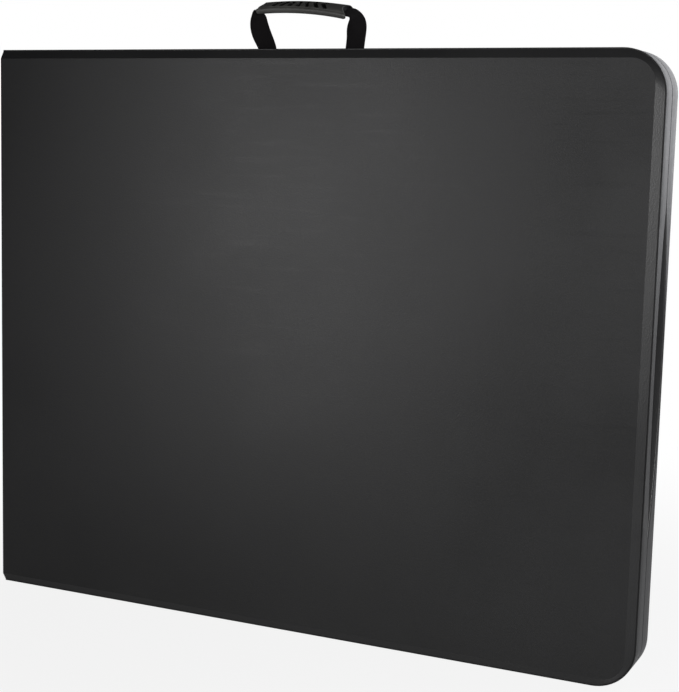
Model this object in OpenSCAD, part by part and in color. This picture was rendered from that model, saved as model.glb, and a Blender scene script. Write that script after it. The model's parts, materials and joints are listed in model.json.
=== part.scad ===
// Bi-fold folding table, closed and standing on one long edge.
// Two moulded table-top halves hinge like a suitcase and carry swing-out leg
// frames, folding braces and a webbing carry handle between them.
//
// X runs along the halves: the fold hinge is at -X and the open end is at +X.
// The near half lies on the -Y side, the far half on the +Y side, and the two
// meet on the plane Y = 0. Z is up and the origin is under the closed table.

/* [Table top] */
// Length of one half, from the fold hinge to the open end
half_length = 915; // [700:5:1000]
// Width of the table top, which stands upright here
top_width = 750; // [600:5:800]
// Thickness of one half, from its top face to the meeting plane
half_thick = 35; // [33:0.5:45]
// Radius of the two outer corners
corner_r = 52; // [30:1:90]
// Width of the bevel around the top face
bevel_w = 12; // [4:0.5:20]
// Depth of the bevel around the top face
bevel_d = 6; // [2:0.5:10]
// Depth of the underside recess
recess_d = 22; // [20:0.5:30]
// Rim width along the long edges
side_rim = 28; // [20:1:40]
// Rim width at the open end
end_rim = 20; // [16:1:30]
// Rim width at the fold hinge
hinge_rim = 45; // [40:1:70]
// Outer skin thickness around the hollow core
skin = 2.2; // [1.5:0.1:4]
// Number of moulded grooves across the underside
groove_count = 6; // [2:1:10]

/* [Finger gap] */
// Half of the length of the finger gap at the open end
gap_half = 200; // [80:5:260]
// Depth of the finger cut in the near rim
gap_near = 12; // [5:0.5:20]
// Depth of the finger cut in the far rim
gap_far = 26; // [5:0.5:28]

/* [Side rails] */
// Outer size of the square rail tube
rail_size = 16; // [12:0.5:18]
// Wall of the rail tube
rail_wall = 1.2; // [1:0.1:3]
// Length of each rail
rail_length = 830; // [600:5:840]

/* [Leg frames] */
// Distance from the fold hinge to the leg pivot
pivot_x = 882; // [850:1:884]
// Depth of the leg pivot below the meeting plane
pivot_y = 11.5; // [10.5:0.1:14]
// Distance from the leg pivot to the end of the foot
leg_length = 640; // [500:1:640]
// Radius of the leg and pivot tubes
tube_r = 10; // [8:0.1:10]
// Wall of the leg and pivot tubes
tube_wall = 1.2; // [1:0.05:2]
// Half spacing of the near uprights
near_spread = 300; // [280:1:310]
// Half spacing of the far uprights
far_spread = 262; // [230:1:270]
// Distance from the leg pivot to the crossbar
bar_at = 390; // [300:1:400]
// Radius of the crossbar
bar_r = 7.5; // [6:0.1:8]
// Radius of the foot cap
foot_r = 11; // [10.5:0.1:11.3]
// Length of the foot cap
foot_length = 36; // [20:1:50]

/* [Braces] */
// Distance from the leg pivot to the brace bracket
brace_at = 440; // [400:1:460]
// Sideways offset of each brace from the middle of the table
brace_off = 28; // [20:1:40]
// Radius of the brace tube
brace_r = 7; // [5:0.1:7]
// Thickness of each brace strap
strap_t = 3; // [2:0.1:4]
// Radius of the brace rivets
rivet_r = 3; // [2:0.1:4]

/* [Fold hinges] */
// Height of the hinge barrels
hinge_len = 72; // [40:1:100]
// Distance from the long edges to the middle of a hinge
hinge_in = 110; // [80:1:200]
// Radius of the hinge barrel
barrel_r = 5; // [4:0.1:6]
// Radius of the hinge pin
pin_r = 2.5; // [1.5:0.1:3]
// Length of a hinge leaf
leaf_len = 38; // [25:1:42]

/* [Carry handle] */
// Width of the webbing
web_w = 25; // [15:0.5:40]
// Thickness of the webbing
web_t = 2.2; // [1.5:0.1:3]
// Distance between the two webbing tails
web_gap = 122; // [90:1:160]
// Length of the moulded grip
grip_len = 126; // [100:1:150]
// Width of the moulded grip
grip_w = 26; // [18:0.5:32]
// Thickness of the moulded grip
grip_t = 12; // [8:0.5:16]
// Height of the middle of the grip above the edge
grip_up = 49; // [40:0.5:60]
// Lean of the grip towards the near side
grip_lean = 24; // [0:1:40]

/* [Latch] */
// Distance of the latch from the middle of the table
latch_x = 250; // [150:5:350]
// Width of the latch plate
latch_w = 14; // [10:0.5:18]
// Thickness of the latch plate
latch_t = 3; // [2:0.1:4]
// Reach of the latch plate from its screw
latch_reach = 25; // [18:0.5:30]

/* [Hidden] */
$fn = 64;
left_x = -half_length / 2;
right_x = half_length / 2;
mid_z = top_width / 2;
leg_x = left_x + pivot_x;
floor_y = -recess_d;
body_d = half_thick - bevel_d;
eps = 0.01;
run_fit = 0.05;
tap_fit = 0.02;
free_gap = 0.3;
core_near = half_thick - skin;
core_far = recess_d + 3.5;
core_inset = 16;
recess_r = 12;
rail_x0 = left_x + 52;
rail_low_z = side_rim;
rail_high_z = top_width - side_rim - rail_size;
bracket_t = 3;
bracket_w = 26;
tube_low_z = side_rim + rail_size + bracket_t + free_gap;
tube_high_z = top_width - tube_low_z;
bore_r = tube_r - tube_wall;
bar_x = leg_x - bar_at;
brace_x = leg_x - brace_at;
brace_span = sqrt(bar_at * bar_at + brace_at * brace_at);
strap_len = (brace_span - (brace_at - bar_at)) / 2;
mid_x = brace_x - strap_len;
strap_in = brace_r + 1.5;
ear_in = strap_in + strap_t + 0.5;
ear_t = 3;
hook_in = bar_r + 0.5;
hook_out = pivot_y - free_gap - 1;
hook_throat = 60;
hook_root = 14;
brace_end = brace_r - 0.6;
foot_pocket = 1.5;
clip_at = 520;
clip_wall = 4;
leaf_t = 2.5;
leaf_low = 0.25;
knuckle_len = hinge_len / 3;
knuckle_gap = 0.3;
hinge_z = [hinge_in, top_width - hinge_in];
screw_r = 2;
head_r = 4;
head_t = 1.4;
web_y = -3.5;
swing_z = top_width + 1.5;
notch_d = 5;
notch_h = 30;
strap_screw_z = top_width - 14;
plate_t = 1.6;
latch_y = -18;
latch_top = top_width - 0.2;
pocket_d = latch_t + 0.6;
pocket_x0 = latch_x - latch_w / 2 - 2;
pocket_len = latch_w + latch_reach + 8;
grip_bow = 480;
rim_run_a = -left_x - hinge_rim - 10 - web_gap / 2 - web_w;
rim_run_b = right_x - corner_r - pocket_x0 - pocket_len - 10;
moulded = [0.17, 0.17, 0.175];
steel = [0.45, 0.46, 0.48];
zinc = [0.72, 0.73, 0.74];
webbing = [0.08, 0.08, 0.085];
rubbery = [0.12, 0.12, 0.12];

// ---- table-top halves ----

// A slice of the table-top outline between two depths.
module outline(y0, y1, inset) {
    depth = y1 - y0;
    translate([left_x + (inset > 0 ? inset : 0), y0, inset])
        cube([half_length - corner_r - inset, depth, top_width - 2 * inset]);
    translate([right_x - corner_r - eps, y0, corner_r])
        cube([corner_r - inset + eps, depth, top_width - 2 * corner_r]);
    for (z = [corner_r, top_width - corner_r])
        translate([right_x - corner_r, y1, z])
            rotate([90, 0, 0])
                cylinder(h = depth, r = corner_r - inset, $fn = 96);
}

// The bevelled top layer: flat tapers along the edges and cones at the corners.
module bevel_layer() {
    run = half_length - corner_r;
    translate([left_x, 0, 0])
        rotate([90, 0, 90])
            linear_extrude(height = run)
                polygon([
                    [-body_d, 0],
                    [-half_thick, bevel_w],
                    [-half_thick, top_width - bevel_w],
                    [-body_d, top_width]
                ]);
    translate([0, 0, corner_r])
        linear_extrude(height = top_width - 2 * corner_r)
            polygon([
                [right_x - corner_r - eps, -body_d],
                [right_x, -body_d],
                [right_x - bevel_w, -half_thick],
                [right_x - corner_r - eps, -half_thick]
            ]);
    for (z = [corner_r, top_width - corner_r])
        translate([right_x - corner_r, -body_d, z])
            rotate([90, 0, 0])
                cylinder(h = bevel_d, r1 = corner_r, r2 = corner_r - bevel_w, $fn = 96);
}

// The recess that houses the folded legs.
module underside_recess() {
    x0 = left_x + hinge_rim;
    x1 = right_x - end_rim;
    z1 = top_width - side_rim;
    translate([x0, floor_y, side_rim])
        cube([x1 - recess_r - x0, recess_d + 1, z1 - side_rim]);
    translate([x1 - recess_r - eps, floor_y, side_rim + recess_r])
        cube([recess_r + eps, recess_d + 1, z1 - side_rim - 2 * recess_r]);
    for (z = [side_rim + recess_r, z1 - recess_r])
        translate([x1 - recess_r, 1, z])
            rotate([90, 0, 0])
                cylinder(h = recess_d + 1, r = recess_r);
}

// Shallow moulded grooves that stiffen the underside skin.
module underside_grooves() {
    first = left_x + hinge_rim + 40;
    pitch = (half_length - hinge_rim - end_rim - 130) / (groove_count - 1);
    for (i = [0 : groove_count - 1])
        translate([first + i * pitch, floor_y - foot_pocket, 150])
            cube([22, foot_pocket + eps, top_width - 300]);
}

// Clearance for the two hinge barrels and their leaves.
module hinge_seats() {
    seat = hinge_len + 2;
    for (z = hinge_z) {
        translate([left_x, 0, z - seat / 2])
            cylinder(h = seat, r = barrel_r + 1.5);
        translate([left_x, -leaf_t - leaf_low, z - seat / 2])
            cube([leaf_len + 1, leaf_t + leaf_low + 1, seat]);
        for (s = leaf_screws(z))
            translate([s[0], 0, s[1]])
                rotate([90, 0, 0])
                    cylinder(h = 16, r = screw_r + tap_fit);
    }
}

// Positions of the four screws in one hinge leaf.
function leaf_screws(z) = [
    for (x = [16, 30])
        for (dz = [-24, 24])
            [left_x + x, z + dz]
];

// The arc that opens a finger gap in the rim at the open end.
module finger_cut(depth) {
    arc_r = (gap_half * gap_half + depth * depth) / (2 * depth);
    translate([right_x - end_rim - 1, arc_r - depth, mid_z])
        rotate([0, 90, 0])
            cylinder(h = end_rim + 2, r = arc_r, $fn = 360);
}

// Pocket in the upper rim for the turning latch.
module latch_pocket() {
    translate([pocket_x0, latch_y - 9, top_width - pocket_d])
        cube([pocket_len, 46, pocket_d + 1]);
}

// Pockets that let the foot caps lie flat.
module foot_pockets(spread) {
    for (s = [-1, 1])
        translate([leg_x - leg_length - 4, floor_y - foot_pocket, mid_z + s * spread - 14])
            cube([foot_length + 10, foot_pocket + eps, 28]);
}

// Countersunk fixing holes for the brace bracket.
module bracket_holes(offset_z) {
    for (s = [-1, 1])
        translate([brace_x, floor_y + eps, mid_z + offset_z + s * 25])
            rotate([90, 0, 0])
                cylinder(h = 3, r = screw_r + tap_fit);
}

// Hollow channels inside the two long rims, clear of the hinges and handle.
module rim_cores() {
    low = skin + 1;
    high = side_rim - skin - 1;
    for (x = [left_x + hinge_rim + 10, pocket_x0 + pocket_len + 10])
        for (z = [low, top_width - high])
            translate([x, -core_far - eps, z])
                cube([x < 0 ? rim_run_a : rim_run_b, core_far - skin - 1, high - low]);
    translate([left_x + skin + 4, -core_far - eps, hinge_z[0] + hinge_len / 2 + 12])
        cube([
            hinge_rim - 2 * skin - 8,
            core_far - skin - 1,
            hinge_z[1] - hinge_z[0] - hinge_len - 24
        ]);
}

module table_half(spread, gap_depth, offset_z) {
    difference() {
        union() {
            outline(-body_d, 0, 0);
            bevel_layer();
        }
        outline(-core_near, -core_far, core_inset);
        rim_cores();
        underside_recess();
        underside_grooves();
        foot_pockets(spread);
        hinge_seats();
        finger_cut(gap_depth);
        latch_pocket();
        bracket_holes(offset_z);
    }
}

// Notches that let the webbing out between the halves.
module strap_notches() {
    for (s = [-1, 1])
        translate([s * web_gap / 2 - web_w / 2 - 1.5, -notch_d, top_width - notch_h])
            cube([web_w + 3, notch_d + 1, notch_h + 1]);
}

module near_top() {
    color(moulded)
        difference() {
            table_half(near_spread, gap_near, brace_off);
            strap_notches();
            for (s = [-1, 1])
                translate([s * web_gap / 2, 0, strap_screw_z])
                    rotate([90, 0, 0])
                        cylinder(h = 18, r = screw_r + tap_fit);
            translate([latch_x, latch_y, top_width - 16])
                cylinder(h = 14, r = screw_r + tap_fit);
        }
}

module far_top() {
    color(moulded)
        mirror([0, 1, 0])
            table_half(far_spread, gap_far, -brace_off);
}

// ---- fold hinges ----

// One leaf with its knuckles; outer = true gives the two end knuckles.
module hinge_leaf(z, outer) {
    third = knuckle_len;
    own = outer ? [-1, 1] : [0];
    other = outer ? [0] : [-1, 1];
    difference() {
        union() {
            translate([left_x, -leaf_t - leaf_low, z - hinge_len / 2])
                cube([leaf_len, leaf_t, hinge_len]);
            for (k = own)
                translate([left_x, 0, z + k * third - third / 2 + knuckle_gap / 2])
                    cylinder(h = third - knuckle_gap, r = barrel_r);
        }
        for (k = other)
            translate([left_x, 0, z + k * third - third / 2 - knuckle_gap / 2])
                cylinder(h = third + knuckle_gap, r = barrel_r + 0.5);
        for (k = own)
            translate([left_x + eps, eps - 0.01, z + k * third - third / 2 - 1])
                cube([barrel_r + 1, barrel_r + 1, third + 2]);
        translate([left_x, 0, z - hinge_len / 2 - 1])
            cylinder(h = hinge_len + 2, r = pin_r + run_fit);
        for (s = leaf_screws(z))
            translate([s[0], 1, s[1]])
                rotate([90, 0, 0]) {
                    cylinder(h = leaf_t + 2, r = screw_r + run_fit);
                    cylinder(h = 1 + leaf_low + head_t + 0.1, r = head_r + run_fit);
                }
    }
}

module near_hinge_leaves() {
    color(zinc)
        for (z = hinge_z)
            hinge_leaf(z, true);
}

module far_hinge_leaves() {
    color(zinc)
        mirror([0, 1, 0])
            for (z = hinge_z)
                hinge_leaf(z, false);
}

module hinge_pins() {
    color(steel)
        for (z = hinge_z)
            translate([left_x, 0, z - hinge_len / 2]) {
                cylinder(h = hinge_len, r = pin_r);
                translate([0, 0, hinge_len])
                    cylinder(h = 0.9, r = pin_r + 1.2);
            }
}

// A flat-headed screw driven towards -Y from the given depth.
module flat_screw(length) {
    rotate([90, 0, 0]) {
        cylinder(h = head_t, r = head_r);
        cylinder(h = length, r = screw_r);
    }
}

module leaf_screw_set() {
    for (z = hinge_z)
        for (s = leaf_screws(z))
            translate([s[0], -leaf_low - 0.05, s[1]])
                flat_screw(14);
}

module near_hinge_screws() {
    color(zinc)
        leaf_screw_set();
}

module far_hinge_screws() {
    color(zinc)
        mirror([0, 1, 0])
            leaf_screw_set();
}

// ---- side rails and leg pivots ----

module rail_pair() {
    for (z = [rail_low_z, rail_high_z])
        translate([rail_x0, floor_y, z])
            difference() {
                cube([rail_length, rail_size, rail_size]);
                translate([-1, rail_wall, rail_wall])
                    cube([rail_length + 2, rail_size - 2 * rail_wall, rail_size - 2 * rail_wall]);
            }
}

module near_side_rails() {
    color(steel)
        rail_pair();
}

module far_side_rails() {
    color(steel)
        mirror([0, 1, 0])
            rail_pair();
}

// Bracket plate on a rail, with the stub that the pivot tube turns on.
module leg_bracket() {
    translate([leg_x - bracket_w / 2 - 2, floor_y, side_rim + rail_size])
        cube([bracket_w, recess_d - 2, bracket_t]);
    translate([leg_x, -pivot_y, side_rim + rail_size + eps])
        cylinder(h = bracket_t + 22, r = bore_r - run_fit);
}

module bracket_pair() {
    leg_bracket();
    translate([0, 0, top_width])
        mirror([0, 0, 1])
            leg_bracket();
}

module near_leg_brackets() {
    color(zinc)
        bracket_pair();
}

module far_leg_brackets() {
    color(zinc)
        mirror([0, 1, 0])
            bracket_pair();
}

// Rivets that close the ends of the rails against the brackets.
module rail_rivets() {
    for (z = [rail_low_z, rail_high_z])
        for (x = [40, 300, 560, 800])
            translate([rail_x0 + x, floor_y + rail_size, z + rail_size / 2])
                rotate([-90, 0, 0])
                    cylinder(h = 1.6, r = 3.5);
}

module near_rail_rivets() {
    color(zinc)
        rail_rivets();
}

module far_rail_rivets() {
    color(zinc)
        mirror([0, 1, 0])
            rail_rivets();
}

// ---- leg frames ----

module pivot_tube() {
    translate([leg_x, -pivot_y, tube_low_z])
        difference() {
            cylinder(h = tube_high_z - tube_low_z, r = tube_r);
            translate([0, 0, -1])
                cylinder(h = tube_high_z - tube_low_z + 2, r = bore_r);
        }
}

module uprights(spread) {
    tube_end = leg_length - 6;
    for (s = [-1, 1])
        difference() {
            translate([leg_x - tube_end, -pivot_y, mid_z + s * spread])
                rotate([0, 90, 0])
                    difference() {
                        cylinder(h = tube_end, r = tube_r);
                        translate([0, 0, -1])
                            cylinder(h = tube_end + 2, r = bore_r);
                    }
            translate([leg_x, -pivot_y, mid_z + s * spread - 20])
                cylinder(h = 40, r = tube_r + tap_fit);
        }
}

module crossbar(spread) {
    difference() {
        translate([bar_x, -pivot_y, mid_z - spread])
            cylinder(h = 2 * spread, r = bar_r);
        translate([bar_x, -pivot_y, mid_z - spread - 1])
            cylinder(h = 2 * spread + 2, r = bar_r - tube_wall);
        for (s = [-1, 1])
            translate([bar_x - 20, -pivot_y, mid_z + s * spread])
                rotate([0, 90, 0])
                    cylinder(h = 40, r = tube_r + tap_fit);
    }
}

module feet(spread) {
    tube_end = leg_length - 6;
    for (s = [-1, 1])
        translate([leg_x - leg_length, -pivot_y, mid_z + s * spread])
            rotate([0, 90, 0])
                difference() {
                    cylinder(h = foot_length, r = foot_r);
                    translate([0, 0, leg_length - tube_end])
                        cylinder(h = foot_length, r = tube_r + tap_fit);
                }
}

module near_leg_pivot_tube() {
    color(steel)
        pivot_tube();
}

module near_leg_uprights() {
    color(steel)
        uprights(near_spread);
}

module near_leg_crossbar() {
    color(steel)
        crossbar(near_spread);
}

module near_leg_feet() {
    color(rubbery)
        feet(near_spread);
}

module far_leg_pivot_tube() {
    color(steel)
        mirror([0, 1, 0])
            pivot_tube();
}

module far_leg_uprights() {
    color(steel)
        mirror([0, 1, 0])
            uprights(far_spread);
}

module far_leg_crossbar() {
    color(steel)
        mirror([0, 1, 0])
            crossbar(far_spread);
}

module far_leg_feet() {
    color(rubbery)
        mirror([0, 1, 0])
            feet(far_spread);
}

// Cradles on the underside that hold the folded uprights.
module clips(spread) {
    reach = recess_d - 5;
    for (s = [-1, 1])
        translate([leg_x - clip_at, floor_y, mid_z + s * spread])
            difference() {
                translate([-9, 0, -tube_r - clip_wall])
                    cube([18, reach, 2 * (tube_r + clip_wall)]);
                translate([-10, recess_d - pivot_y, 0])
                    rotate([0, 90, 0])
                        cylinder(h = 20, r = tube_r + free_gap);
                translate([-10, recess_d - pivot_y, -tube_r - free_gap])
                    cube([20, recess_d, 2 * (tube_r + free_gap)]);
            }
}

module near_leg_clips() {
    color(rubbery)
        clips(near_spread);
}

module far_leg_clips() {
    color(rubbery)
        mirror([0, 1, 0])
            clips(far_spread);
}

// ---- folding braces ----

// Bracket under the table top with one ear on each side of the brace.
module brace_bracket(offset_z) {
    translate([brace_x, 0, mid_z + offset_z])
        for (s = [-1, 1])
            mirror([0, 0, s > 0 ? 0 : 1])
                difference() {
                    union() {
                        translate([-10, floor_y, ear_in])
                            cube([20, recess_d - pivot_y, ear_t]);
                        translate([0, -pivot_y, ear_in])
                            cylinder(h = ear_t, r = 8);
                        translate([-10, floor_y, ear_in])
                            cube([20, 1.8, 20]);
                    }
                    translate([0, -pivot_y, ear_in - 1])
                        cylinder(h = ear_t + 2, r = rivet_r + tap_fit);
                    translate([0, floor_y - 1, 25])
                        rotate([-90, 0, 0])
                            cylinder(h = 5, r = screw_r + run_fit);
                }
}

// Short rivets that the brace straps turn on, and the bracket screws.
module brace_pivots(offset_z) {
    translate([brace_x, 0, mid_z + offset_z])
        for (s = [-1, 1])
            mirror([0, 0, s > 0 ? 0 : 1]) {
                translate([0, -pivot_y, strap_in])
                    cylinder(h = ear_in + ear_t - strap_in + 1, r = rivet_r);
                translate([0, -pivot_y, ear_in + ear_t + eps])
                    cylinder(h = 1.2, r = rivet_r + 2);
            }
}

module bracket_screws(offset_z) {
    for (s = [-1, 1])
        translate([brace_x, floor_y + 1.8 + head_t, mid_z + offset_z + s * 25])
            flat_screw(head_t + 1.8 + 2.8);
}

module brace_straps(offset_z) {
    translate([mid_x, -pivot_y, mid_z + offset_z])
        for (s = [-1, 1])
            mirror([0, 0, s > 0 ? 0 : 1])
                translate([0, 0, strap_in])
                    difference() {
                        union() {
                            translate([0, -brace_r, 0])
                                cube([strap_len, 2 * brace_r, strap_t]);
                            cylinder(h = strap_t, r = brace_r);
                            translate([strap_len, 0, 0])
                                cylinder(h = strap_t, r = brace_r);
                        }
                        translate([0, 0, -1])
                            cylinder(h = strap_t + 2, r = rivet_r + tap_fit);
                        translate([strap_len, 0, -1])
                            cylinder(h = strap_t + 2, r = rivet_r + run_fit);
                    }
}

module brace_rivet(offset_z) {
    reach = strap_in + strap_t;
    translate([mid_x, -pivot_y, mid_z + offset_z - reach - 0.8])
        cylinder(h = 2 * reach + 1.6, r = rivet_r);
    for (s = [-1, 1])
        translate([mid_x, -pivot_y, mid_z + offset_z + s * (reach + 0.6) - 0.5])
            cylinder(h = 1, r = rivet_r + 2);
}

// Brace tube with a cross-hole at the mid joint. Its other end is a flat open
// hook that rests over the leg crossbar.
module brace_tube(offset_z) {
    reach = bar_x - mid_x;
    root = reach - hook_throat - hook_root;
    translate([mid_x, -pivot_y, mid_z + offset_z])
        difference() {
            union() {
                rotate([0, 90, 0])
                    cylinder(h = root + 2, r = brace_r);
                translate([0, 0, -brace_end])
                    cylinder(h = 2 * brace_end, r = brace_r + 1);
                translate([root, -brace_end, -brace_end])
                    cube([hook_root, brace_end + hook_out, 2 * brace_end]);
                translate([root, hook_in, -brace_end])
                    cube([hook_root + hook_throat + hook_out, hook_out - hook_in, 2 * brace_end]);
                translate([reach + hook_in, -2, -brace_end])
                    cube([hook_out - hook_in, hook_out + 2, 2 * brace_end]);
            }
            translate([2, 0, 0])
                rotate([0, 90, 0])
                    cylinder(h = root - 2, r = brace_r - tube_wall);
            translate([0, 0, -brace_r - 1])
                cylinder(h = 2 * brace_r + 2, r = rivet_r + run_fit);
        }
}

module near_brace_bracket() {
    color(zinc)
        brace_bracket(brace_off);
}

module near_brace_pivots() {
    color(zinc)
        brace_pivots(brace_off);
}

module near_bracket_screws() {
    color(zinc)
        bracket_screws(brace_off);
}

module near_brace_straps() {
    color(steel)
        brace_straps(brace_off);
}

module near_brace_rivet() {
    color(zinc)
        brace_rivet(brace_off);
}

module near_brace_tube() {
    color(steel)
        brace_tube(brace_off);
}

module far_brace_bracket() {
    color(zinc)
        mirror([0, 1, 0])
            brace_bracket(-brace_off);
}

module far_brace_pivots() {
    color(zinc)
        mirror([0, 1, 0])
            brace_pivots(-brace_off);
}

module far_bracket_screws() {
    color(zinc)
        mirror([0, 1, 0])
            bracket_screws(-brace_off);
}

module far_brace_straps() {
    color(steel)
        mirror([0, 1, 0])
            brace_straps(-brace_off);
}

module far_brace_rivet() {
    color(zinc)
        mirror([0, 1, 0])
            brace_rivet(-brace_off);
}

module far_brace_tube() {
    color(steel)
        mirror([0, 1, 0])
            brace_tube(-brace_off);
}

// ---- carry handle ----

// Webbing tails clamped in the rim.
module strap_tails() {
    color(webbing)
        for (s = [-1, 1])
            difference() {
                translate([s * web_gap / 2 - web_w / 2, web_y - web_t / 2, top_width - notch_h + 2])
                    cube([web_w, web_t, notch_h - 2 - 0.2]);
                translate([s * web_gap / 2, 0, strap_screw_z])
                    rotate([90, 0, 0])
                        cylinder(h = 18, r = screw_r + tap_fit);
            }
}

module strap_plates() {
    color(zinc)
        for (s = [-1, 1])
            difference() {
                translate([s * web_gap / 2 - 12, web_y + web_t / 2, strap_screw_z - 8])
                    cube([24, plate_t, 16]);
                translate([s * web_gap / 2, 1, strap_screw_z])
                    rotate([90, 0, 0])
                        cylinder(h = 8, r = head_r + run_fit);
            }
}

module strap_screws() {
    color(zinc)
        for (s = [-1, 1])
            translate([s * web_gap / 2, web_y + web_t / 2 + head_t, strap_screw_z])
                flat_screw(16);
}

// The free part of the webbing, from the edge up into the grip.
module carry_strap() {
    rise = grip_up - 11.8;
    color(webbing)
        for (s = [-1, 1])
            translate([s * web_gap / 2, web_y, swing_z]) {
                translate([-web_w / 2, 0, 0])
                    rotate([0, 90, 0])
                        cylinder(h = web_w, r = web_t / 2);
                translate([0, web_t / 2, 0])
                    rotate([90, 0, 0])
                        linear_extrude(height = web_t)
                            polygon([
                                [-web_w / 2, 0],
                                [web_w / 2, 0],
                                [web_w / 2 + s * 3 - 1, rise * 0.45],
                                [web_w / 2 - s * 1 - 5, rise * 0.8],
                                [web_w / 2 - s * 8 - 8, rise],
                                [-web_w / 2 - s * 8 + 8, rise],
                                [-web_w / 2 - s * 1 + 5, rise * 0.8],
                                [-web_w / 2 + s * 3 + 1, rise * 0.45]
                            ]);
            }
}

// The moulded grip: a gently bowed stadium section, leaning to the near side.
module carry_grip() {
    bow_angle = 180 / PI * (grip_len - grip_t) / grip_bow;
    core = grip_w - grip_t;
    color(rubbery)
        translate([0, web_y, top_width + grip_up])
            rotate([-grip_lean, 0, 0])
                translate([0, 0, -grip_bow])
                    rotate([0, bow_angle / 2 - 90, 0])
                        rotate([90, 0, 0])
                            rotate_extrude(angle = bow_angle, $fn = 360)
                                translate([grip_bow, 0]) {
                                    square([grip_t, core], center = true);
                                    for (s = [-1, 1])
                                        translate([0, s * core / 2])
                                            circle(r = grip_t / 2);
                                }
}

// ---- latch ----

module latch_plate() {
    color(zinc)
        translate([latch_x, latch_y, latch_top - latch_t])
            difference() {
                union() {
                    cylinder(h = latch_t, r = latch_w / 2);
                    translate([-latch_w / 2, 0, 0])
                        cube([latch_w, latch_reach, latch_t]);
                    translate([0, latch_reach, 0])
                        cylinder(h = latch_t, r = latch_w / 2);
                }
                translate([0, 0, -1])
                    cylinder(h = latch_t + 2, r = screw_r + run_fit);
                translate([0, 0, latch_t - head_t - 0.1])
                    cylinder(h = latch_t, r = head_r + run_fit);
            }
}

module latch_screw() {
    color(steel)
        translate([latch_x, latch_y, latch_top])
            rotate([90, 0, 0])
                flat_screw(15);
}

// ---- assembly ----

near_top();
far_top();
near_hinge_leaves();
far_hinge_leaves();
hinge_pins();
near_hinge_screws();
far_hinge_screws();
near_side_rails();
far_side_rails();
near_rail_rivets();
far_rail_rivets();
near_leg_brackets();
far_leg_brackets();
near_leg_pivot_tube();
near_leg_uprights();
near_leg_crossbar();
near_leg_feet();
far_leg_pivot_tube();
far_leg_uprights();
far_leg_crossbar();
far_leg_feet();
near_leg_clips();
far_leg_clips();
near_brace_bracket();
near_brace_pivots();
near_bracket_screws();
near_brace_straps();
near_brace_rivet();
near_brace_tube();
far_brace_bracket();
far_brace_pivots();
far_bracket_screws();
far_brace_straps();
far_brace_rivet();
far_brace_tube();
strap_tails();
strap_plates();
strap_screws();
carry_strap();
carry_grip();
latch_plate();
latch_screw();
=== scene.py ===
"""Looks for the bi-fold folding table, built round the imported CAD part."""

import json
import math

import bmesh
import bpy
from mathutils import Matrix, Vector


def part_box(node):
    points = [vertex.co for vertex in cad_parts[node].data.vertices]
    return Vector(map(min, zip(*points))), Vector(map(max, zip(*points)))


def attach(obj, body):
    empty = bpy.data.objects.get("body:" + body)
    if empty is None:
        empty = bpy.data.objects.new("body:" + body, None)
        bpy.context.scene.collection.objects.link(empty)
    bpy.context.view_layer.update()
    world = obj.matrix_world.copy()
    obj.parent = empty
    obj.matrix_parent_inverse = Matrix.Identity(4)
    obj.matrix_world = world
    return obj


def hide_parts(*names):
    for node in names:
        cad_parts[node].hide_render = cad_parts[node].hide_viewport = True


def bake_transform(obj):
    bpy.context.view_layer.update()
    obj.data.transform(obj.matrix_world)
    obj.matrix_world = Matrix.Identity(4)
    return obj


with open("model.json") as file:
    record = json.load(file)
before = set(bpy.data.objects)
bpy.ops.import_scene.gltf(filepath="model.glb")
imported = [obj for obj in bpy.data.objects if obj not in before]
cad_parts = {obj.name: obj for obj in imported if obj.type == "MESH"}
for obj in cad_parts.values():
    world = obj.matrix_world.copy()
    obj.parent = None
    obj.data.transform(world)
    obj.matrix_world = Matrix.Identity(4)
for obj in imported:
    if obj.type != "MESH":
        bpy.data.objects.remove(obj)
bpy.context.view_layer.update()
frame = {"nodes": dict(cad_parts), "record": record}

# ---------------------------------------------------------------- sizes, metres
# The visual shells repeat the rims, recess and bevel of the CAD halves.
top_lo, top_hi = (Vector(v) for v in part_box("near_top"))
LEFT, RIGHT = top_lo.x, top_hi.x
HEIGHT = top_hi.z
HALF = -top_lo.y
MID_Z = HEIGHT / 2
CORNER = 0.052
PANEL_CORNER = 0.029
RECESS_CORNER = 0.012
BEVEL_W = 0.012
BEVEL_D = 0.006
RECESS = 0.022
SIDE_RIM = 0.028
END_RIM = 0.020
HINGE_RIM = 0.045
# The finger gap at the open end: half its length, and how far each rim sinks.
GAP_HALF = 0.200
GAP_NEAR = 0.012
GAP_FAR = 0.026
# Hinges: middle of each from the nearer long edge, knuckles, and leaf sockets.
HINGE_IN = 0.110
HINGE_LEN = 0.072
BARREL = 0.005
LEAF_LEN = 0.038
LEAF_DEEP = 0.00275
# Carry webbing, and the notches in the near rim that it comes out of.
WEB_W = 0.025
WEB_T = 0.0022
WEB_GAP = 0.122
WEB_Y = -0.0035
NOTCH_D = 0.005
NOTCH_H = 0.030
NOTCH_SPARE = 0.0015
# The latch plate's bed in the two long edges at the top.
LATCH_X = 0.250
LATCH_BED_LEFT = 0.009
LATCH_BED_RIGHT = 0.038
LATCH_BED_Y = -0.027
LATCH_BED_DEEP = 0.0036
# How far a cutter reaches past the surface it cuts.
PAST = 0.004
# Crease angles in degrees: an edge that turns more than this is shaded sharp.
CRISP = 21.0
SKIN_CREASE = 60
GRIP_CREASE = 40
WEB_CREASE = 50

# ---------------------------------------------------------------- camera, light
CAMERA_PLACE = (0.834, -1.692, 0.629)
CAMERA_RIGHT = (0.9054, 0.4238, 0.0262)
CAMERA_BACK = (0.4170, -0.8991, 0.1335)
CAMERA_LENS = 76.5
# Light from the surroundings: dim in front, bright from behind and below.
FILL_DIM = 0.049
FILL_BRIGHT = 2.2
FILL_TOWARDS = (0.50, 0.78, -0.38)
FILL_FROM, FILL_TO = 0.15, 0.85
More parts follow.
